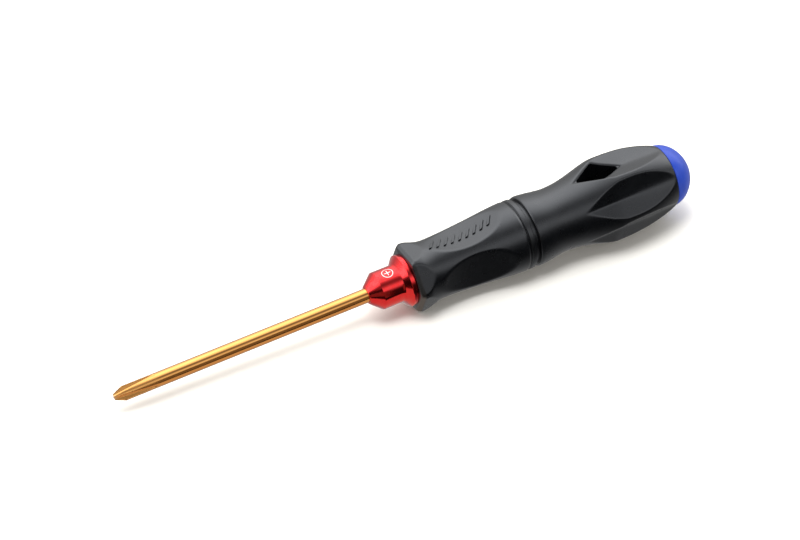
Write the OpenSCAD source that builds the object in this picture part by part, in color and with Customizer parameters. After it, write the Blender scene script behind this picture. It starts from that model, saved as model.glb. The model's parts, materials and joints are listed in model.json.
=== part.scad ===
// Phillips hobby screwdriver: fixed round blade in a turned collar, two-piece moulded grip
// and a palm cap that spins on a spindle. The tip is at the origin, the axis is +X, +Z is up.

/* [Blade] */
// Diameter of the round blade
blade_d = 5; // [4.6:0.1:5]
// Length of the blade that stands out of the collar
blade_free = 91.8; // [60:0.2:110]
// Length of the tang inside the collar and the core
tang_l = 30; // [20:0.5:30]
// Diameter of the blunt end of the point
point_end_d = 2.1; // [1.4:0.1:2.6]
// Length of the tapered wings of the point
point_l = 3.5; // [2.4:0.1:4.5]
// Length of the four flutes
flute_l = 15; // [9:0.5:16]
// Depth of the flat that the clamp screw bears on
tang_flat = 0.5; // [0.3:0.05:0.7]

/* [Collar] */
// Diameter of the collar's front edge
collar_front_d = 6.6; // [6.2:0.1:8]
// Diameter of the collar's barrel
collar_d = 13.1; // [12:0.1:14]
// Diameter of the collar's flange
flange_d = 18.2; // [16:0.2:19]
// Length of the collar in front of the grip
collar_l = 15.05; // [14:0.05:17]
// Length of the front cone
cone_l = 4; // [3:0.1:4.5]
// Diameter of the threaded shank behind the flange
shank_d = 9; // [8:0.1:9]
// Diameter of the clamp screw
clamp_d = 3; // [2.5:0.1:3]

/* [Front grip] */
// Length of the front grip
front_l = 41.5; // [40:0.5:42]
// Across the flats of the hexagonal lip
lip_af = 21.7; // [21.3:0.1:22]
// Across the corners of the hexagonal lip
lip_d = 24.2; // [23.8:0.1:24.4]
// Length of the chamfer in front of the lip's flats
lip_bevel = 1.25; // [0.8:0.05:1.5]
// Diameter of the neck behind the lip
neck_d = 20.7; // [20:0.1:21]
// Diameter of the grip's rear end
front_end_d = 24.8; // [24:0.1:25.2]
// Distance from the axis to the floor of the finger flats
finger_floor = 8.75; // [8.6:0.05:9.4]
// Radius that the finger flats are swept to
finger_r = 40; // [36:1:44]

/* [Rear grip] */
// Length of the joint ring between the grips
ring_l = 3.7; // [3.4:0.1:4]
// Length of the rear grip
rear_l = 54.5; // [54:0.5:56]
// Diameter of the rear grip's front end
rear_front_d = 25; // [24.4:0.1:25.4]
// Diameter of the waist
waist_d = 22.8; // [22.4:0.1:23.4]
// Diameter of the swell
swell_d = 30; // [29:0.2:31]
// Number of leaf-shaped scallops round the swell
leaves = 6; // [6]
// Length of the hanging hole
hole_l = 17.6; // [13:0.1:18]
// Width of the hanging hole
hole_w = 10.2; // [7:0.1:10.6]

/* [Palm cap] */
// Diameter of the cap at its seam
cap_d = 22; // [21.6:0.1:22.2]
// Height of the cap's dome
cap_l = 9.4; // [8.4:0.1:10.4]
// Width of the seam that lets the cap turn
seam = 0.2; // [0.15:0.05:0.3]
// Diameter of the cap's spindle
spindle_d = 4; // [3.6:0.1:4]

/* [Hidden] */
$fn = 72;
e = 0.01;
flange_x = blade_free + collar_l;
ring_x = flange_x + front_l;
rear_x = ring_x + ring_l;
cap_x = rear_x + rear_l;
tang_end = blade_free + tang_l;
barrel_x = blade_free + cone_l;
flare_x = blade_free + 11;
rim_x = flange_x - 1.75;
clamp_x = barrel_x + 3.5;
run = 0.025;
core_d = 12;
spigot_d = 9;
spigot_l = 13;
insert_d = 16;
insert_l = 14;
plug_d = 16;
plug_l = 12.5;
plug_x = cap_x - plug_l;
clip_pocket = 3.6;
bush_d = 6;
hole_x = rear_x + 29.15;
lip_x = flange_x + 1.4;
neck_x = flange_x + 9.8;
finger_x = flange_x + 19.75;
swell_x = rear_x + 32.4;
// Each leaf is cut by two shallow V troughs that meet at its knee: [x, radius of the crease].
leaf_tip = [rear_x + 19.1, 12.15];
leaf_knee = [rear_x + 30.2, 11.9];
leaf_tail = [rear_x + 52.7, 11.2];
leaf_slope_front = 0.3;
leaf_slope_rear = 0.25;
// Ridge lines of the two grips: [x, radius, slope].
front_keys = [[flange_x, lip_af / 2 + 0.35, 1.2], [flange_x + 1.65, lip_d / 2, 0],
              [flange_x + 4.75, lip_d / 2 - 0.68, -0.37], [neck_x, neck_d / 2, 0],
              [flange_x + 24.15, neck_d / 2 + 0.75, 0.07], [ring_x - 1.5, front_end_d / 2, 0.05],
              [ring_x, front_end_d / 2 - 0.15, -0.2]];
rear_keys = [[rear_x, rear_front_d / 2 - 0.35, 0.6], [rear_x + 0.7, rear_front_d / 2, 0],
             [rear_x + 11.7, waist_d / 2, 0], [rear_x + 24.9, 13.55, 0.28],
             [swell_x, swell_d / 2, 0], [rear_x + 44.9, 14, -0.2], [cap_x, cap_d / 2 + 0.15, -0.42]];

// Smooth curve through two keys at a parameter t from 0 to 1
function blend(a, b, t) = (2 * t ^ 3 - 3 * t ^ 2 + 1) * a[1]
    + (t ^ 3 - 2 * t ^ 2 + t) * (b[0] - a[0]) * a[2]
    + (3 * t ^ 2 - 2 * t ^ 3) * b[1] + (t ^ 3 - t ^ 2) * (b[0] - a[0]) * b[2];
// Points along a ridge line, with n steps between each pair of keys
function ridge(k, n) = [for (i = [0:len(k) - 2]) for (j = [0:(i == len(k) - 2 ? n : n - 1)])
    [k[i][0] + (k[i + 1][0] - k[i][0]) * j / n, blend(k[i], k[i + 1], j / n)]];
// A rhombus of length l and width w with its corners rounded to r
function rhombus(l, w, r) = let (a = atan(w / l), s = r / cos(a), t = r / sin(a))
    [for (c = [[l / 2 - t, 0, 0, 90 - a], [0, w / 2 - s, 90, a], [t - l / 2, 0, 180, 90 - a],
               [0, s - w / 2, 270, a]])
        for (i = [-2:2]) [c[0] + r * cos(c[2] + c[3] * i / 2), c[1] + r * sin(c[2] + c[3] * i / 2)]];

// Turns a profile of [x, radius] points about the X axis
module turned(pts) {
    rotate([90, 0, 90])
        rotate_extrude()
            polygon([for (p = pts) [p[1], p[0]]]);
}

// Turns a profile of [x, radius] points that runs along the outside, closed along the axis
module solid_turned(pts) {
    n = len(pts) - 1;
    turned(concat([[pts[0][0], 0]], pts, [[pts[n][0], 0]]));
}

// A cylinder along +X that starts at x
module rod(x, l, d) {
    translate([x, 0, 0])
        rotate([0, 90, 0])
            cylinder(h = l, d = d);
}

// A tube along +X
module tube(x, l, d, bore) {
    difference() {
        rod(x, l, d);
        rod(x - 1, l + 2, bore);
    }
}

module blade() {
    r = blade_d / 2;
    color("goldenrod")
        difference() {
            solid_turned([[0, point_end_d / 2], [point_l, r], [tang_end - 0.5, r], [tang_end, r - 0.5]]);
            for (k = [0:3])
                rotate([90 * k, 0, 0])
                    flute();
            translate([blade_free + 2.5, -3, -r - 1])
                cube([tang_l, 6, 1 + tang_flat]);
        }
}

// The tapered trough between two wings of the point
module flute() {
    rise = atan((blade_d / 2 - 0.55) / flute_l);
    translate([0, 0, 0.55])
        rotate([0, -rise, 0])
            translate([-2, 0, 0])
                rotate([90, 0, 90])
                    linear_extrude(height = flute_l + 6)
                        polygon([[-0.3, 0], [0.3, 0], [3.1, 3], [-3.1, 3]]);
}

module collar() {
    color("crimson")
        difference() {
            solid_turned([[blade_free, collar_front_d / 2 - 0.25], [blade_free + 0.25, collar_front_d / 2],
                          [barrel_x, collar_d / 2], [flare_x, collar_d / 2],
                          [flare_x + 0.55, collar_d / 2 + 0.35], [rim_x, flange_d / 2 - 0.1],
                          [rim_x + 0.1, flange_d / 2], [flange_x - 0.2, flange_d / 2],
                          [flange_x, flange_d / 2 - 0.2], [flange_x, shank_d / 2],
                          [flange_x + 9, shank_d / 2], [flange_x + 9.5, shank_d / 2 - 0.5]]);
            rod(blade_free - 1, collar_l + 12, blade_d + 2 * run);
            translate([clamp_x, 0, -collar_d])
                cylinder(h = collar_d, d = clamp_d + 0.06);
        }
}

module clamp_screw() {
    top = -blade_d / 2 + tang_flat - 0.05;
    color("dimgray")
        translate([clamp_x, 0, 0])
            difference() {
                translate([0, 0, top - 4])
                    cylinder(h = 4, d = clamp_d);
                translate([0, 0, top - 5])
                    cylinder(h = 2.6, d = 1.73, $fn = 6);
            }
}

module core_sleeve() {
    color("silver")
        difference() {
            union() {
                rod(flange_x + 0.2, front_l + ring_l - 0.2, core_d);
                rod(rear_x - e, spigot_l, spigot_d);
            }
            rod(flange_x - 1, 11.5, shank_d);
            rod(flange_x, tang_end - flange_x + 0.3, blade_d + 2 * run);
            key_holes();
        }
}

// Cross holes that take the keys
module key_holes() {
    for (k = [0:1])
        translate([ring_x - 12 + 6 * k, 8.6, 0])
            rotate([90, 0, 0])
                cylinder(h = 17.2, d = 3);
}

module core_keys() {
    color("gainsboro")
        for (k = [0:1])
            translate([ring_x - 12 + 6 * k, 8.6, 0])
                rotate([90, 0, 0])
                    cylinder(h = 17.2, d = 3);
}

// What is cut away over one flat of the hexagonal lip and the chamfer in front of it
module lip_flat() {
    translate([flange_x + lip_bevel, -10, lip_af / 2]) {
        cube([neck_x - flange_x - 2.6, 20, 5]);
        rotate([0, -35, 0])
            translate([-5, 0, 0])
                cube([8, 20, 5]);
    }
}

module front_grip() {
    color("#17191d")
        difference() {
            solid_turned(ridge(front_keys, 3));
            for (k = [0:5])
                rotate([60 * k, 0, 0])
                    lip_flat();
            for (k = [0:3])
                rotate([90 * k, 0, 0])
                    translate([finger_x, 20, finger_floor + finger_r])
                        rotate([90, 0, 0])
                            cylinder(h = 40, r = finger_r, $fn = 360);
            rod(flange_x - 1, front_l + 2, core_d);
            key_holes();
        }
}

module joint_ring() {
    color("#22252a")
        difference() {
            solid_turned([[ring_x, 12.05], [ring_x + 0.2, 12.05], [ring_x + 0.4, 12.35],
                          [ring_x + 1.8, 12.35], [ring_x + 2.1, 12.05], [ring_x + 2.1, 11.2],
                          [rear_x, 11.2]]);
            rod(ring_x - 1, ring_l + 2, core_d);
        }
}

module rear_insert() {
    color("darkgoldenrod")
        difference() {
            solid_turned([[rear_x, insert_d / 2], [rear_x + 5.5, insert_d / 2],
                          [rear_x + 5.5, insert_d / 2 - 0.8], [rear_x + 7.5, insert_d / 2 - 0.8],
                          [rear_x + 7.5, insert_d / 2], [rear_x + insert_l, insert_d / 2]]);
            rod(rear_x - 1, insert_l + 2, spigot_d);
        }
}

// A shallow V trough whose crease runs from a to b, both [x, radius]
module trough(a, b, slope) {
    rise = atan((b[1] - a[1]) / (b[0] - a[0]));
    reach = norm(b - a) + 3;
    translate([a[0], 0, a[1]])
        rotate([0, -rise, 0])
            translate([-1.5, 0, 0])
                rotate([90, 0, 90])
                    linear_extrude(height = reach)
                        polygon([[0, 0], [9, 9 * slope], [9, 8], [-9, 8], [-9, 9 * slope]]);
}

module rear_grip() {
    color("#17191d")
        difference() {
            solid_turned(ridge(rear_keys, 3));
            for (k = [0:leaves - 1])
                rotate([360 * k / leaves, 0, 0]) {
                    trough(leaf_tip, leaf_knee, leaf_slope_front);
                    trough(leaf_knee, leaf_tail, leaf_slope_rear);
                }
            translate([hole_x, 0, -20])
                linear_extrude(height = 40)
                    polygon(rhombus(hole_l, hole_w, 0.9));
            rod(rear_x - 1, insert_l + 1.3, insert_d);
            rod(plug_x, plug_l + 1, plug_d);
        }
}

module end_plug() {
    color("slategray")
        difference() {
            rod(plug_x + 0.1, plug_l - 0.7, plug_d);
            rod(plug_x - 1, clip_pocket + 1, 10);
            rod(plug_x, plug_l + 1, bush_d);
        }
}

module cap_bush() {
    color("peru")
        difference() {
            union() {
                rod(plug_x + clip_pocket, plug_l - 0.6 - clip_pocket, bush_d);
                rod(cap_x - 0.6, 0.6, 9);
            }
            rod(plug_x, plug_l + 2, spindle_d + 0.08);
        }
}

module clip_washer() {
    color("silver")
        tube(plug_x + clip_pocket - 0.8, 0.75, 8.4, spindle_d + 0.1);
}

module cap_spindle() {
    clip_x = plug_x + clip_pocket - 1.7;
    r = spindle_d / 2;
    color("lightgray")
        solid_turned([[plug_x + 0.4, r - 0.3], [plug_x + 0.7, r], [clip_x, r], [clip_x, r - 0.45],
                      [clip_x + 0.8, r - 0.45], [clip_x + 0.8, r], [cap_x + 5.5, r]]);
}

module cap_clip() {
    color("dimgray")
        tube(plug_x + clip_pocket - 1.7, 0.8, 7, spindle_d - 0.9);
}

module end_cap() {
    n = 12;
    dome = [for (i = [0:n]) let (t = sin(90 * i / n))
        [cap_x + seam + (cap_l - seam) * t, cap_d / 2 * (1 - t ^ 1.9) ^ 0.55]];
    color("royalblue")
        difference() {
            turned(concat([[cap_x + seam, 0]], dome));
            rod(cap_x, 5.5, spindle_d);
            tube(cap_x, 3.7, 17, 9.6);
        }
}

blade();
collar();
clamp_screw();
core_sleeve();
core_keys();
front_grip();
joint_ring();
rear_insert();
rear_grip();
end_plug();
cap_bush();
clip_washer();
cap_spindle();
cap_clip();
end_cap();
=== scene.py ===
"""The looks of the Phillips hobby screwdriver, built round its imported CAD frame.

Shapes are worked out in millimetres. The tool's axis is +X with the tip at 0. theta goes round the axis
from +Y to +Z, and the camera is on the -Y side.
"""

import json
import math

import bmesh
import bpy
import numpy as np
from mathutils import Matrix, Vector


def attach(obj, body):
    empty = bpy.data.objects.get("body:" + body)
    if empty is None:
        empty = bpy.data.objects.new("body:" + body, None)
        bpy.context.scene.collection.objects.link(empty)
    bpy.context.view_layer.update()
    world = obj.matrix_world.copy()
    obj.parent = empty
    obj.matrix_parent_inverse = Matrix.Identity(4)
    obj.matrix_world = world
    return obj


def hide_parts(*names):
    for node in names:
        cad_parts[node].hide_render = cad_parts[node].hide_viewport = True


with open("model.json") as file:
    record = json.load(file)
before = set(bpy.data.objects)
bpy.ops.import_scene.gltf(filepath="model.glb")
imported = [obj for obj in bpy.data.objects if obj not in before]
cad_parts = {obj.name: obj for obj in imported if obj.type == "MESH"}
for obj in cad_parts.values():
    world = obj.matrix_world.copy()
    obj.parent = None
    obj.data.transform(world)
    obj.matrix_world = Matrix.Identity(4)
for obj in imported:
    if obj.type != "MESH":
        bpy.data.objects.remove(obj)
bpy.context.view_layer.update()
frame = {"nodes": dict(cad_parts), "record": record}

MM = 0.001
UP = math.pi / 2

# ---------------------------------------------------------------- sizes

BLADE_R = 2.5
BLADE_FLAT = 2.0            # distance of the clamp screw's flat from the axis
TANG_END = 121.8
POINT = [[0, 1.05], [3.5, BLADE_R], [121.3, BLADE_R], [TANG_END, 2.0]]
FLUTE_FLOOR = 0.55          # distance of the flute floors from the axis, at the tip
FLUTE_END = 15.0            # where the floors come out at the rod's surface
FLUTE_SPREAD = 2.8 / 3

COLLAR_X = 91.8
FLANGE_X = 106.85
BARREL_R = 6.55
BORE_R = 2.525
COLLAR = [[COLLAR_X, 3.05], [92.05, 3.3], [95.8, BARREL_R], [102.8, BARREL_R], [103.35, 6.88],
          [105.1, 9.0], [105.25, 9.1], [106.65, 9.1], [FLANGE_X, 8.9], [FLANGE_X, 4.5], [115.85, 4.5],
          [116.35, 4.0], [116.35, BORE_R], [COLLAR_X, BORE_R]]
SCREW_X = 99.3
SCREW_R = 1.53

RING_X = 148.35
CORE_R = 6.0
FRONT_RIDGE = [[FLANGE_X, 11.2, 1.2], [108.5, 12.1, 0], [111.6, 11.42, -0.37], [116.65, 10.35, 0],
               [131.0, 11.1, 0.07], [147.1, 12.38, 0.02], [147.9, 12.1, -0.4], [RING_X, 11.88, -0.5]]
LIP_APOTHEM = 10.85
LIP_BEVEL_END = 108.1
LIP_BEVEL_DEG = 35
LIP_FADE = (114.0, 115.2)   # where the hexagon runs out into the neck
FINGER_X = 126.6
FINGER_FLOOR = 8.75
FINGER_R = 40.0

REAR_X = 152.05
JOINT_RING = [[RING_X, 11.9], [148.42, 11.9], [148.70, 12.35], [150.15, 12.35], [150.45, 12.05],
              [150.45, 11.2], [REAR_X, 11.2], [REAR_X, CORE_R], [RING_X, CORE_R]]

CAP_X = 206.55
INSERT_R = 8.0
INSERT_END = 167.35
PLUG_X = 194.05
REAR_RIDGE = [[REAR_X, 12.15, 0.6], [152.75, 12.5, 0], [163.75, 11.4, 0], [176.95, 13.55, 0.28],
              [184.45, 14.985, 0], [196.95, 14.0, -0.2], [CAP_X, 11.15, -0.42]]
# the middle line of a scallop, as (x, distance from the axis)
LEAF_TIP = (REAR_X + 19.1, 12.15)
LEAF_KNEE = (REAR_X + 30.2, 11.9)
LEAF_TAIL = (REAR_X + 52.7, 11.2)
LEAF_FALL = 0.031           # its fall behind the tail
HOLE_X = REAR_X + 29.15
HOLE_L = 17.6
HOLE_W = 10.2
HOLE_CORNER = 0.9
MOUTH_REACH = 0.8
MOUTH_DEPTH = 0.42

CAP_SEAM = CAP_X + 0.2
CAP_END = 215.95
CAP_R = 11.0


# ---------------------------------------------------------------- shapes

def hermite(keys, x):
    """Smooth curve through keys of [x, value, slope]."""
    keys = np.asarray(keys, float)
    x = np.clip(x, keys[0, 0], keys[-1, 0])
    i = np.clip(np.searchsorted(keys[:, 0], x, side="right") - 1, 0, len(keys) - 2)
    a, b = keys[i], keys[i + 1]
    span = b[..., 0] - a[..., 0]
    t = (x - a[..., 0]) / span
    return ((2 * t**3 - 3 * t**2 + 1) * a[..., 1] + (t**3 - 2 * t**2 + t) * span * a[..., 2]
            + (3 * t**2 - 2 * t**3) * b[..., 1] + (t**3 - t**2) * span * b[..., 2])


def line_through(points, x):
    """Straight lines through points of (x, value), held at the ends."""
    return np.interp(x, [p[0] for p in points], [p[1] for p in points])


def smooth_min(a, b, k):
    """The smaller of a and b, with the edge where they meet rounded over about k."""
    h = np.clip(0.5 + 0.5 * (b - a) / k, 0, 1)
    return b + (a - b) * h - k * h * (1 - h)


def smooth_max(a, b, k):
    return -smooth_min(-a, -b, k)


def smooth_step(x, lo, hi):
    t = np.clip((x - lo) / (hi - lo), 0, 1)
    return t * t * (3 - 2 * t)


def edge_break(xs, end, reach, depth):
    """How far the edge at end is cut back at each of xs, as a column."""
    return depth * np.clip(1 - np.abs(xs - end) / reach, 0, 1)[:, None]


def directions(n):
    return np.arange(n) * 2 * math.pi / n


def off_centre(theta, count, first):
    """Angle from the nearest of count directions spaced evenly round the axis."""
    step = 2 * math.pi / count
    return (theta - first + step / 2) % step - step / 2


def link_object(name, data):
    obj = bpy.data.objects.new(name, data)
    bpy.context.scene.collection.objects.link(obj)
    return obj


def new_object(name, verts, faces, smooth_deg=30.0):
    mesh = bpy.data.meshes.new(name)
    mesh.from_pydata([tuple(v) for v in verts], [], faces)
    mesh.validate()
    bm = bmesh.new()
    bm.from_mesh(mesh)
    bmesh.ops.recalc_face_normals(bm, faces=bm.faces)
    bm.to_mesh(mesh)
    bm.free()
    mesh.shade_smooth()
    mesh.set_sharp_from_angle(angle=math.radians(smooth_deg))
    return link_object(name, mesh)


def ring_faces(a, b, n):
    """Quads between the rings of n vertices that begin at a and b."""
    return [(a + i, b + i, b + (i + 1) % n, a + (i + 1) % n) for i in range(n)]


def shell(name, xs, radii, closed, smooth_deg):
    """Rings at xs with radii[ring][direction]. closed joins the last ring to the first, else both ends
    are filled with a fan."""
    n = radii.shape[1]
    theta = directions(n)
    verts = np.empty((len(xs), n, 3))
    verts[:, :, 0] = np.asarray(xs)[:, None]
    verts[:, :, 1] = radii * np.cos(theta)
    verts[:, :, 2] = radii * np.sin(theta)
    verts = (verts.reshape(-1, 3) * MM).tolist()
    faces = []
    for k in range(len(xs) - 1):
        faces += ring_faces(k * n, (k + 1) * n, n)
    last = (len(xs) - 1) * n
    if closed:
        faces += ring_faces(last, 0, n)
    else:
        for first, x in ((0, xs[0]), (last, xs[-1])):
            middle = len(verts)
            verts.append((x * MM, 0.0, 0.0))
            faces += [(first + i, first + (i + 1) % n, middle) for i in range(n)]
    return new_object(name, verts, faces, smooth_deg)


def softened(points, reach):
    """The closed loop of [x, r] points with every corner turned into a short arc."""
    out = []
    count = len(points)
    for i, p in enumerate(points):
        p = np.asarray(p, float)
        a = np.asarray(points[i - 1], float) - p
        b = np.asarray(points[(i + 1) % count], float) - p
        la, lb = np.linalg.norm(a), np.linalg.norm(b)
        cut = min(reach, 0.4 * la, 0.4 * lb)
        start, end = p + a / la * cut, p + b / lb * cut
        for t in (0.0, 0.25, 0.5, 0.75, 1.0):
            out.append(tuple((1 - t)**2 * start + 2 * t * (1 - t) * p + t**2 * end))
    return out


def turned(name, line, closed, n, smooth_deg):
    """A line of [x, r] turned about the axis: a ring if it is closed, else a solid."""
    radii = np.repeat(np.array([p[1] for p in line])[:, None], n, axis=1)
    return shell(name, [p[0] for p in line], radii, closed, smooth_deg)


def drill(obj, outline, x, lo, hi, smooth_deg):
    """Takes a prism along Z out of obj. Its outline of (u, v) pairs is centred on the axis at x."""
    n = len(outline)
    verts = [((x + u) * MM, v * MM, w * MM) for w in (lo, hi) for u, v in outline]
    faces = ring_faces(0, n, n) + [tuple(range(n)), tuple(range(n, 2 * n))]
    cutter = new_object("cutter", verts, faces)
    mod = obj.modifiers.new("cut", "BOOLEAN")
    mod.operation = "DIFFERENCE"
    mod.solver = "EXACT"
    mod.object = cutter
    bpy.context.view_layer.update()
    depsgraph = bpy.context.evaluated_depsgraph_get()
    mesh = bpy.data.meshes.new_from_object(obj.evaluated_get(depsgraph))
    obj.modifiers.clear()
    old, cut_mesh = obj.data, cutter.data
    mesh.name = old.name
    obj.data = mesh
    bpy.data.meshes.remove(old)
    bpy.data.objects.remove(cutter)
    bpy.data.meshes.remove(cut_mesh)
    mesh.set_sharp_from_angle(angle=math.radians(smooth_deg))


def rounded_rhombus(length, width, r, steps=6):
    """Outline of a rhombus with its corners rounded to r."""
    a = math.atan2(width, length)
    s, t = r / math.cos(a), r / math.sin(a)
    out = []
    for cx, cy, mid, half in ((length / 2 - t, 0, 0, math.pi / 2 - a), (0, width / 2 - s, 90, a),
                              (t - length / 2, 0, 180, math.pi / 2 - a), (0, s - width / 2, 270, a)):
        for i in range(-steps, steps + 1):
            w = math.radians(mid) + half * i / steps
            out.append((cx + r * math.cos(w), cy + r * math.sin(w)))
    return out


# ---------------------------------------------------------------- visible pieces

def make_blade():
    """The rod with its point, four flutes between the wings, and the clamp screw's flat."""
    xs = np.unique(np.concatenate([np.arange(0, 4.5, 0.1), np.arange(4.5, 16.4, 0.2),
                                   np.arange(16.4, 94.3, 2.0), [94.3, 94.32],
                                   np.arange(97, 121, 3.0), [121.3, TANG_END]]))
    theta = directions(192)
    body = line_through(POINT, xs)[:, None] + 0 * theta
    body = body - edge_break(xs, 0, 0.1, 0.05)
    # each flute has a flat floor and two slanted walls
    floor = (FLUTE_FLOOR + (BLADE_R - FLUTE_FLOOR) * xs / FLUTE_END)[:, None]
    d = off_centre(theta, 4, 0.0)[None, :]
    wall_gap = np.maximum(FLUTE_SPREAD * np.cos(d) - np.abs(np.sin(d)), 1e-3)
    wall = (FLUTE_SPREAD * floor - 0.3) / wall_gap
    flute = smooth_max(floor / np.cos(d), wall, 0.12)
    r = smooth_min(body, flute, 0.05)
    r = np.where(xs[:, None] > 15.6, body, r)
    down = np.abs(off_centre(theta, 1, -UP))[None, :]
    flat = np.where(down < 1.2, BLADE_FLAT / np.maximum(np.cos(down), 0.3), 9.0)
    r = np.where(xs[:, None] > 94.31, np.minimum(r, flat), r)
    return shell("blade_surface", xs, r, False, 24.0)


def make_collar():
    obj = turned("collar_surface", softened(COLLAR, 0.11), True, 192, 25.0)
    steps = 40
    circle = [(SCREW_R * math.cos(2 * math.pi * i / steps), SCREW_R * math.sin(2 * math.pi * i / steps))
              for i in range(steps)]
    drill(obj, circle, SCREW_X, -9.0, -1.0, 25)
    return obj


def finger_floor(x):
    """Distance of a finger flat's floor from the axis, a large arc along the tool."""
    reach = np.clip(1 - ((x - FINGER_X) / FINGER_R)**2, 0, 1)
    return FINGER_FLOOR + FINGER_R * (1 - np.sqrt(reach))


def front_radius(x, theta):
    """Radius of the front grip: a ridge line, a hexagonal bevelled lip and four finger flats."""
    ridge = hermite(FRONT_RIDGE, x)
    d6 = off_centre(theta, 6, UP)
    flat = LIP_APOTHEM / np.cos(d6)
    bevel = (LIP_APOTHEM - (LIP_BEVEL_END - x) * math.tan(math.radians(LIP_BEVEL_DEG))) / np.cos(d6)
    lip = smooth_min(flat, bevel, 0.10)
    lip = lip + 3.0 * smooth_step(x, *LIP_FADE)
    r = smooth_min(ridge, lip, 0.22)
    return smooth_min(r, finger_floor(x) / np.cos(off_centre(theta, 4, UP)), 0.38)


def make_front_grip():
    n = 360
    xs = np.unique(np.concatenate([[FLANGE_X, 106.9, 107.0], np.arange(107.15, 116, 0.2),
                                   np.arange(116, 147, 0.4), np.arange(147, 148.3, 0.15), [RING_X]]))
    r = front_radius(xs[:, None], directions(n)[None, :])
    r = r - edge_break(xs, FLANGE_X, 0.12, 0.10)
    r = r - edge_break(xs, RING_X, 0.15, 0.12)
    bore = np.full((2, n), CORE_R)
    return shell("front_grip_surface", np.concatenate([xs, [RING_X, FLANGE_X]]),
                 np.concatenate([r, bore]), True, 35.0)


def make_joint_ring():
    return turned("joint_ring_surface", softened(JOINT_RING, 0.10), True, 144, 38.0)


def rear_radius(x, theta):
    """Radius of the rear grip: a ridge line with six leaf-shaped scallops."""
    ridge = hermite(REAR_RIDGE, x)
    d = off_centre(theta, 6, UP)
    line = line_through((LEAF_TIP, LEAF_KNEE, LEAF_TAIL), x)
    line = line - LEAF_FALL * np.clip(x - LEAF_TAIL[0], 0, None)
    slope = 0.30 - 0.05 * smooth_step(x, LEAF_KNEE[0] - 1, LEAF_KNEE[0] + 3)
    bottom = 0.028 + 0.11 * smooth_step(x, 183.0, 199.0)
    side = np.sqrt(np.sin(d)**2 + bottom**2) - 0.5 * bottom
    leaf = line / (np.cos(d) - slope * side)
    leaf = leaf + 4.0 * smooth_step(-x, -(LEAF_TIP[0] - 0.5), -(LEAF_TIP[0] - 2.5))
    r = smooth_min(ridge, leaf, 0.26)
    # the rounded mouth of the hanging hole, above and below
    half_l, half_w = HOLE_L / 2, HOLE_W / 2
    to_edge = (np.abs(x - HOLE_X) / half_l + np.abs(r * np.cos(theta)) / half_w - 1)
    to_edge = to_edge * half_l * half_w / math.hypot(half_l, half_w)
    mouth = np.clip(1 - np.maximum(to_edge, 0) / MOUTH_REACH, 0, 1)**2
    return r - MOUTH_DEPTH * mouth * (np.abs(np.sin(theta)) > 0.7)


def make_rear_grip():
    """The rear grip, with a cavity for the insert in front, one for the plug behind, and the hole."""
    n = 360
    xs = np.unique(np.concatenate([[REAR_X, 152.1, 152.2], np.arange(152.35, 170, 0.5),
                                   np.arange(170, 206.4, 0.25), [206.45, CAP_X]]))
    r = rear_radius(xs[:, None], directions(n)[None, :])
    r = r - edge_break(xs, REAR_X, 0.15, 0.10)
    r = r - edge_break(xs, CAP_X, 0.1, 0.06)
    cavity = np.full((2, n), INSERT_R)
    obj = shell("rear_grip_surface", np.concatenate([[INSERT_END, REAR_X], xs, [CAP_X, PLUG_X]]),
                np.concatenate([cavity, r, cavity]), False, 35.0)
    drill(obj, rounded_rhombus(HOLE_L, HOLE_W, HOLE_CORNER), HOLE_X, -18, 18, 35)
    return obj


def make_end_cap():
    under = [[CAP_SEAM + 5.3, 2.0], [CAP_SEAM, 2.0], [CAP_SEAM, 4.8], [CAP_SEAM + 3.5, 4.8],
             [CAP_SEAM + 3.5, 8.5], [CAP_SEAM, 8.5], [CAP_SEAM, CAP_R - 0.15],
             [CAP_SEAM + 0.06, CAP_R - 0.04]]
    dome = []
    steps = 40
    for i in range(1, steps):
        t = math.sin(math.pi / 2 * i / steps)
        dome.append([CAP_SEAM + (CAP_END - CAP_SEAM) * t, CAP_R * (1 - t**1.9)**0.55])
    dome.append([CAP_END - 0.002, 0.25])
    return turned("end_cap_surface", under + dome, False, 180, 40.0)


def slanted_bar(x, half_x, half_y, lean):
    """Verts and faces of one low bar on the top finger flat, its middle at x."""
    steps = 10
    outline = []
    for sign in (1, -1):
        for i in range(steps + 1):
            w = math.pi * i / steps
            outline.append((sign * half_x * math.cos(w),
                            sign * (half_y - half_x + half_x * math.sin(w))))
    outline = [(x + u + lean * v, v) for u, v in outline]
    layers = ((1.0, -0.6), (1.0, 0.36), (0.90, 0.44), (0.7, 0.47))
    verts = []
    for inset, lift in layers:
        for u, v in outline:
            u2 = x + lean * v * inset + (u - x - lean * v) * inset
            v2 = v * (1 - (1 - inset) * 0.25)
            verts.append((u2 * MM, v2 * MM, (finger_floor(u2) + lift) * MM))
    m = len(outline)
    faces = []
    for k in range(len(layers) - 1):
        faces += ring_faces(k * m, (k + 1) * m, m)
    top = (len(layers) - 1) * m
    return verts, faces + [tuple(range(m)), tuple(range(top, top + m))]


def make_relief():
    """A generic relief on the top finger flat: a row of slanted rounded bars."""
    verts, faces = [], []
    for i in range(9):
        bar_verts, bar_faces = slanted_bar(117.3 + 2.7 * i, 0.5, 1.9, 0.75)
        base = len(verts)
        verts += bar_verts
        faces += [tuple(base + k for k in face) for face in bar_faces]
    return new_object("grip_relief", verts, faces, 40.0)


# ---------------------------------------------------------------- materials

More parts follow.
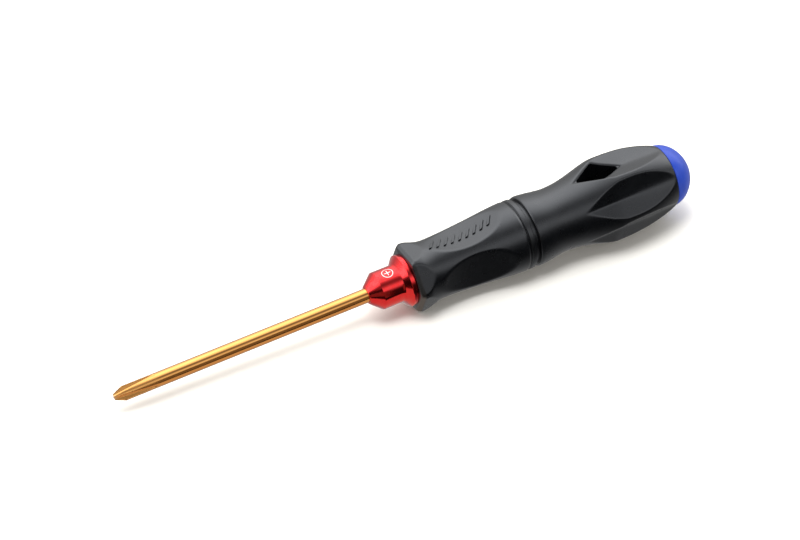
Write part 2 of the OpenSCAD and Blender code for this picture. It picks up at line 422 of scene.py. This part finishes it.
class Look:
    """A principled material with short helpers for its procedural nodes."""

    def __init__(self, name):
        self.mat = bpy.data.materials.new(name)
        self.mat.use_nodes = True
        self.tree = self.mat.node_tree
        self.bsdf = self.tree.nodes["Principled BSDF"]
        self.place = self.node("TexCoord").outputs["Object"]

    def node(self, kind):
        return self.tree.nodes.new("ShaderNode" + kind)

    def feed(self, socket, value):
        if isinstance(value, (int, float, tuple)):
            socket.default_value = value
        else:
            self.tree.links.new(value, socket)

    def math(self, op, a, b=0.0, clamp=False):
        node = self.node("Math")
        node.operation = op
        node.use_clamp = clamp
        self.feed(node.inputs[0], a)
        self.feed(node.inputs[1], b)
        return node.outputs[0]

    def scaled(self, x, y, z):
        node = self.node("Mapping")
        node.inputs["Scale"].default_value = (x, y, z)
        self.feed(node.inputs["Vector"], self.place)
        return node.outputs[0]

    def noise(self, vector, scale, detail, rough=0.55):
        node = self.node("TexNoise")
        for key, v in (("Scale", scale), ("Detail", detail), ("Roughness", rough), ("Vector", vector)):
            self.feed(node.inputs[key], v)
        return node.outputs["Fac"]

    def cells(self, scale):
        node = self.node("TexVoronoi")
        node.inputs["Scale"].default_value = scale
        self.feed(node.inputs["Vector"], self.scaled(1, 1, 1))
        return node.outputs["Distance"]

    def spread(self, value, lo, hi, low, high):
        """value from lo..hi to low..high, held at the ends."""
        node = self.node("MapRange")
        for key, v in (("Value", value), ("From Min", lo), ("From Max", hi), ("To Min", low),
                       ("To Max", high)):
            self.feed(node.inputs[key], v)
        return node.outputs["Result"]

    def cloud(self, noise, low=0.0, high=1.0):
        """The middle of a noise's range, spread over low..high."""
        return self.spread(noise, 0.3, 0.7, low, high)

    def mix(self, fac, a, b):
        node = self.node("Mix")
        node.data_type = "RGBA"
        for i, v in ((0, fac), (6, a), (7, b)):
            self.feed(node.inputs[i], v)
        return node.outputs[2]

    def bump(self, height, strength, distance, normal=None):
        node = self.node("Bump")
        node.inputs["Strength"].default_value = strength
        node.inputs["Distance"].default_value = distance
        self.feed(node.inputs["Height"], height)
        if normal is not None:
            self.feed(node.inputs["Normal"], normal)
        return node.outputs["Normal"]

    def axes(self):
        node = self.node("SeparateXYZ")
        self.feed(node.inputs[0], self.place)
        return node.outputs

    def set(self, **values):
        for key, v in values.items():
            self.feed(self.bsdf.inputs[key.replace("_", " ")], v)


def shade(colour, factor):
    return tuple(c * factor for c in colour[:3]) + (1,)


def gold_look():
    m = Look("blade_gold")
    streaks = m.noise(m.scaled(60, 2600, 2600), 1.0, 4.0)
    mottle = m.noise(m.scaled(420, 420, 420), 1.0, 3.0)
    tone = m.spread(streaks, 0.35, 0.65, 0.0, 1.0)
    colour = m.mix(tone, (0.82, 0.370, 0.085, 1), (0.90, 0.425, 0.112, 1))
    # ground wings: fine cross marks near the point, and a thinner coat on the point itself
    x = m.axes()[0]
    near_tip = m.spread(x, 0.0165, 0.0145, 0.0, 1.0)
    worn = m.spread(x, 0.0012, 0.0, 0.0, 0.55)
    colour = m.mix(m.math("MULTIPLY", worn, mottle, clamp=True), colour, (0.92, 0.72, 0.42, 1))
    rough = m.math("ADD", m.cloud(mottle, 0.075, 0.125), m.math("MULTIPLY", near_tip, 0.16))
    marks = m.noise(m.scaled(9000, 700, 700), 1.0, 2.0)
    height = m.math("ADD", m.math("MULTIPLY", marks, near_tip), m.math("MULTIPLY", streaks, 0.22))
    m.set(Base_Color=colour, Metallic=1.0, Roughness=rough, Normal=m.bump(height, 0.5, 0.00003),
          Coat_Weight=0.7, Coat_Roughness=0.15)
    return m.mat


def etched_mark(m, x, y, z):
    """A generic mark near the top of the collar's barrel, a ring round a plus sign: 1 on its lines."""
    angle = m.math("ARCTAN2", z, m.math("MULTIPLY", y, -1.0))
    u = m.math("MULTIPLY", m.math("SUBTRACT", x, 0.0999), 1000.0)
    v = m.math("MULTIPLY", m.math("SUBTRACT", angle, math.radians(83)), BARREL_R)
    far = m.math("SQRT", m.math("ADD", m.math("MULTIPLY", u, u), m.math("MULTIPLY", v, v)))
    off_ring = m.math("ABSOLUTE", m.math("SUBTRACT", far, 1.85))
    ring = m.spread(off_ring, 0.17, 0.10, 0.0, 1.0)
    au, av = m.math("ABSOLUTE", u), m.math("ABSOLUTE", v)
    thin = m.spread(m.math("MINIMUM", au, av), 0.18, 0.11, 0.0, 1.0)
    short = m.spread(m.math("MAXIMUM", au, av), 1.15, 1.08, 0.0, 1.0)
    mark = m.math("MAXIMUM", ring, m.math("MULTIPLY", thin, short), clamp=True)
    on_barrel = m.math("MULTIPLY", m.spread(x, 0.0959, 0.0960, 0.0, 1.0),
                       m.spread(x, 0.1028, 0.1027, 0.0, 1.0))
    return m.math("MULTIPLY", mark, on_barrel)


def red_look():
    m = Look("collar_red")
    rings = m.noise(m.scaled(14000, 60, 60), 1.0, 2.0)
    mottle = m.noise(m.scaled(500, 500, 500), 1.0, 3.0)
    colour = m.mix(m.cloud(mottle), (0.90, 0.012, 0.016, 1), (0.96, 0.020, 0.024, 1))
    mark = etched_mark(m, *m.axes())
    colour = m.mix(mark, colour, (0.90, 0.72, 0.70, 1))
    rough = m.math("ADD", m.cloud(mottle, 0.08, 0.12), m.math("MULTIPLY", mark, 0.3))
    metal = m.math("SUBTRACT", 1.0, m.math("MULTIPLY", mark, 0.7))
    m.set(Base_Color=colour, Metallic=metal, Roughness=rough, Normal=m.bump(rings, 0.25, 0.00002),
          Coat_Weight=0.75, Coat_Roughness=0.08)
    return m.mat


def black_look(name, tint, rough_lo, rough_hi):
    m = Look(name)
    grain = m.cells(5200.0)
    cloud = m.noise(m.scaled(1, 1, 1), 260.0, 5.0, 0.6)
    dust = m.noise(m.scaled(1, 1, 1), 2300.0, 2.0)
    colour = m.mix(m.cloud(cloud), tint, shade(tint, 1.35))
    colour = m.mix(m.spread(dust, 0.62, 0.80, 0.0, 0.10), colour, (0.012, 0.012, 0.014, 1))
    normal = m.bump(cloud, 0.08, 0.00008, m.bump(grain, 0.35, 0.00003))
    m.set(Base_Color=colour, Roughness=m.cloud(cloud, rough_lo, rough_hi), Normal=normal,
          Specular_IOR_Level=1.0, Specular_Tint=(0.90, 0.93, 1.0, 1))
    return m.mat


def blue_look():
    m = Look("cap_blue")
    cloud = m.noise(m.scaled(1, 1, 1), 320.0, 4.0)
    colour = m.mix(m.cloud(cloud), (0.014, 0.052, 0.42, 1), (0.018, 0.063, 0.48, 1))
    normal = m.bump(cloud, 0.10, 0.00008, m.bump(m.cells(6500.0), 0.18, 0.00003))
    m.set(Base_Color=colour, Roughness=m.cloud(cloud, 0.30, 0.40), Normal=normal)
    return m.mat


def metal_look(name, base, rough_lo, rough_hi, scale):
    """Turned or ground metal for the pieces that are mostly inside."""
    m = Look(name)
    lines = m.noise(m.scaled(*scale), 1.0, 3.0)
    cloud = m.noise(m.scaled(700, 700, 700), 1.0, 3.0)
    colour = m.mix(m.cloud(cloud), base, shade(base, 0.82))
    m.set(Base_Color=colour, Metallic=1.0, Roughness=m.cloud(lines, rough_lo, rough_hi),
          Normal=m.bump(lines, 0.3, 0.00002))
    return m.mat


def grey_plastic_look():
    m = Look("plug_plastic")
    cloud = m.noise(m.scaled(400, 400, 400), 1.0, 4.0)
    colour = m.mix(m.cloud(cloud), (0.10, 0.10, 0.11, 1), (0.13, 0.13, 0.14, 1))
    m.set(Base_Color=colour, Roughness=m.cloud(cloud, 0.45, 0.6), Normal=m.bump(cloud, 0.15, 0.00005))
    return m.mat


# the noise's scale along each axis, which sets the grain of the tool marks
TURNED = (12000, 60, 60)
GROUND = (60, 9000, 9000)
SCREW_GRAIN = (600, 600, 12000)
looks = {
    "blade_gold": gold_look(),
    "collar_red": red_look(),
    "screw_black": metal_look("screw_black", (0.10, 0.10, 0.11, 1), 0.35, 0.55, SCREW_GRAIN),
    "core_steel": metal_look("core_steel", (0.62, 0.63, 0.64, 1), 0.28, 0.45, TURNED),
    "key_steel": metal_look("key_steel", (0.70, 0.71, 0.72, 1), 0.15, 0.3, GROUND),
    "grip_black": black_look("grip_black", (0.0004, 0.0007, 0.0015, 1), 0.26, 0.33),
    "ring_black": black_look("ring_black", (0.0004, 0.0006, 0.0012, 1), 0.30, 0.38),
    "insert_brass": metal_look("insert_brass", (0.72, 0.50, 0.20, 1), 0.25, 0.4, TURNED),
    "plug_plastic": grey_plastic_look(),
    "bush_bronze": metal_look("bush_bronze", (0.55, 0.36, 0.18, 1), 0.4, 0.6, TURNED),
    "washer_steel": metal_look("washer_steel", (0.70, 0.71, 0.72, 1), 0.2, 0.35, GROUND),
    "cap_blue": blue_look(),
}


def paint(obj, slot):
    obj.data.materials.clear()
    obj.data.materials.append(looks[slot])


def finish_piece(obj, slot, body, node):
    paint(obj, slot)
    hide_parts(node)
    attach(obj, body)


finish_piece(make_blade(), "blade_gold", "blade_rod", "blade")
finish_piece(make_collar(), "collar_red", "handle", "collar")
finish_piece(make_front_grip(), "grip_black", "handle", "front_grip")
finish_piece(make_joint_ring(), "ring_black", "handle", "joint_ring")
finish_piece(make_rear_grip(), "grip_black", "handle", "rear_grip")
finish_piece(make_end_cap(), "cap_blue", "cap", "end_cap")

bars = make_relief()
paint(bars, "grip_black")
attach(bars, "handle")

# the CAD pieces that are shown as they are
slots = {s["node"]: s["material_slot"] for s in frame["record"]["subparts"]}
for node in ("clamp_screw", "core_sleeve", "core_keys", "rear_insert", "end_plug", "cap_bush",
             "clip_washer", "cap_spindle", "cap_clip"):
    obj = frame["nodes"][node]
    paint(obj, slots[node])

# ---------------------------------------------------------------- floor

# The tool lies on the lip's lower flat and on the rear end of the front grip, so the floor leans in
# the tool's frame.
REST_A = Vector((0.1084, 0.0, -0.01085))
REST_B = Vector((0.1460, 0.0, -0.01236))
along = (REST_B - REST_A).normalized()
floor_up = Vector((-along.z, 0.0, along.x))
FLOOR_SIZE = 3.0
FLOOR_CELLS = 24
FLOOR_GAP = 0.00005


def make_floor():
    side = Vector((0, 1, 0))
    row = FLOOR_CELLS + 1
    verts, faces = [], []
    for i in range(row):
        for j in range(row):
            p = (REST_A + along * ((i / FLOOR_CELLS - 0.5) * FLOOR_SIZE)
                 + side * ((j / FLOOR_CELLS - 0.5) * FLOOR_SIZE) - floor_up * FLOOR_GAP)
            verts.append(tuple(p))
    for i in range(FLOOR_CELLS):
        for j in range(FLOOR_CELLS):
            a = i * row + j
            faces.append((a, a + 1, a + row + 1, a + row))
    mesh = bpy.data.meshes.new("floor")
    mesh.from_pydata(verts, [], faces)
    mesh.validate()
    if mesh.polygons[0].normal.dot(floor_up) < 0:
        mesh.flip_normals()
    m = Look("floor_paper")
    fibre = m.noise(m.scaled(1, 1, 1), 900.0, 4.0)
    colour = m.mix(m.cloud(fibre), (0.885, 0.870, 0.835, 1), (0.905, 0.890, 0.855, 1))
    m.set(Base_Color=colour, Roughness=0.7, Normal=m.bump(fibre, 0.05, 0.0001), Specular_IOR_Level=0.0,
          Emission_Color=(0.075, 0.068, 0.058, 1), Emission_Strength=1.0)
    mesh.materials.append(m.mat)
    return link_object("floor", mesh)


floor = make_floor()
floor.visible_glossy = False

# ---------------------------------------------------------------- light


def card(name, verts, tint):
    """A faintly lit card that only mirror rays see."""
    mesh = bpy.data.meshes.new(name)
    mesh.from_pydata(verts, [], [tuple(range(len(verts)))])
    m = Look(name + "_paper")
    m.set(Base_Color=(0.02, 0.02, 0.02, 1), Roughness=0.8, Emission_Color=tint, Emission_Strength=1.0)
    mesh.materials.append(m.mat)
    obj = link_object(name, mesh)
    obj.visible_camera = False
    obj.visible_diffuse = False
    obj.visible_shadow = False


floor_slope = along.z / along.x


def on_floor(x, y):
    """A point of a card that lies just above the floor."""
    return (x, y, REST_A.z + (x - REST_A.x) * floor_slope + 0.0003)


# a warm card on the floor beside the blade and the collar, mirrored by their undersides
card("bounce_card", [on_floor(-0.004, -0.004), on_floor(0.108, -0.004), on_floor(0.108, -0.026),
                     on_floor(0.088, -0.018), on_floor(-0.004, -0.018)], (0.60, 0.49, 0.40, 1))
# a black flag past the tip, mirrored by the cone, the flange and the bevel of the lip
card("black_flag", [(-0.35, -0.33, -0.20), (-0.35, -0.05, -0.20), (-0.35, -0.05, 0.20),
                    (-0.35, -0.33, 0.20)], (0.0, 0.0, 0.0, 1))
# a dim card standing on the near side, mirrored by the dark line along the blade and the collar
card("dim_card", [(-0.010, -0.045, -0.012), (0.107, -0.045, -0.012), (0.107, -0.045, 0.018),
                  (-0.010, -0.045, 0.018)], (0.13, 0.10, 0.06, 1))

# Angle round the axis in degrees, from 0 at the near horizon through 90 straight up, and the light
# there. A wide softbox is over and behind the tool and a strip is lower down on the near side, with a
# dimmer gap between them and the dark below the strip.
SKY_BANDS = ((-180, 0.50), (-120, 0.42), (-87, 0.42), (-65, 0.24), (-52, 0.13), (-45, 0.07),
             (-36, 0.035), (-24, 0.02), (-8, 0.025), (6, 0.035), (13, 0.14), (20, 0.55), (27, 0.95),
             (37, 0.95), (44, 0.60), (52, 0.30), (60, 0.22), (67, 0.30), (74, 0.62), (82, 1.15),
             (92, 1.85), (108, 2.4), (130, 2.4), (140, 1.9), (150, 1.3), (160, 1.0), (170, 0.7),
             (180, 0.50))
SKY_TOP = 2.4


def make_sky():
    """Soft studio light as bands round the tool's axis."""
    world = bpy.data.worlds.new("studio")
    bpy.context.scene.world = world
    world.use_nodes = True
    nodes, link = world.node_tree.nodes, world.node_tree.links.new
    split = nodes.new("ShaderNodeSeparateXYZ")
    link(nodes.new("ShaderNodeTexCoord").outputs["Generated"], split.inputs[0])
    near = nodes.new("ShaderNodeMath")
    near.operation = "MULTIPLY"
    link(split.outputs["Y"], near.inputs[0])
    near.inputs[1].default_value = -1.0
    angle = nodes.new("ShaderNodeMath")
    angle.operation = "ARCTAN2"
    link(split.outputs["Z"], angle.inputs[0])
    link(near.outputs[0], angle.inputs[1])
    span = nodes.new("ShaderNodeMapRange")
    link(angle.outputs[0], span.inputs["Value"])
    span.inputs["From Min"].default_value = -math.pi
    span.inputs["From Max"].default_value = math.pi
    ramp = nodes.new("ShaderNodeValToRGB")
    link(span.outputs["Result"], ramp.inputs["Fac"])
    ramp.color_ramp.interpolation = "LINEAR"
    stops = ramp.color_ramp.elements
    while len(stops) > 1:
        stops.remove(stops[0])
    stops[0].position = 0.0
    for degrees, level in SKY_BANDS:
        at = (degrees + 180) / 360
        stop = stops.new(at) if at else stops[0]
        v = level / SKY_TOP
        stop.color = (v, v, v * 0.985, 1)
    back = nodes["Background"]
    link(ramp.outputs["Color"], back.inputs["Color"])
    back.inputs["Strength"].default_value = SKY_TOP


KEY_POWER = 6.2


def key_light():
    """A soft lamp overhead that lights the floor and the matt cap, and shows in no mirror reflection."""
    lamp = bpy.data.lights.new("key", "AREA")
    lamp.shape = "DISK"
    lamp.size = 0.55
    lamp.energy = KEY_POWER
    obj = link_object("key", lamp)
    place, aim = Vector((0.10, -0.09, 1.12)), Vector((0.11, 0.0, 0.0))
    obj.location = place
    obj.rotation_euler = (aim - place).to_track_quat("-Z", "Y").to_euler()
    obj.visible_glossy = False


make_sky()
key_light()

# ---------------------------------------------------------------- camera

DISTANCE = 0.976


def make_camera():
    swing, lift, roll = math.radians(18.0), math.radians(41.0), math.radians(21.9)
    back = Vector((-math.sin(swing), -math.cos(swing) * math.cos(lift), math.cos(swing) * math.sin(lift)))
    level = (Vector((1, 0, 0)) - back * back.x).normalized()
    across = back.cross(level)
    right = level * math.cos(roll) - across * math.sin(roll)
    up = level * math.sin(roll) + across * math.cos(roll)
    aim = Vector((0.1060, 0, 0)) - right * 0.00138 + up * 0.00340
    cam = bpy.data.cameras.new("camera")
    cam.lens = 131.8
    cam.sensor_width = 36.0
    cam.sensor_fit = "HORIZONTAL"
    cam.clip_end = 20.0
    obj = link_object("camera", cam)
    turn = Matrix((right, up, back)).transposed().to_4x4()
    obj.matrix_world = Matrix.Translation(aim + back * DISTANCE) @ turn
    bpy.context.scene.camera = obj


make_camera()
bpy.context.scene.view_settings.view_transform = "Standard"

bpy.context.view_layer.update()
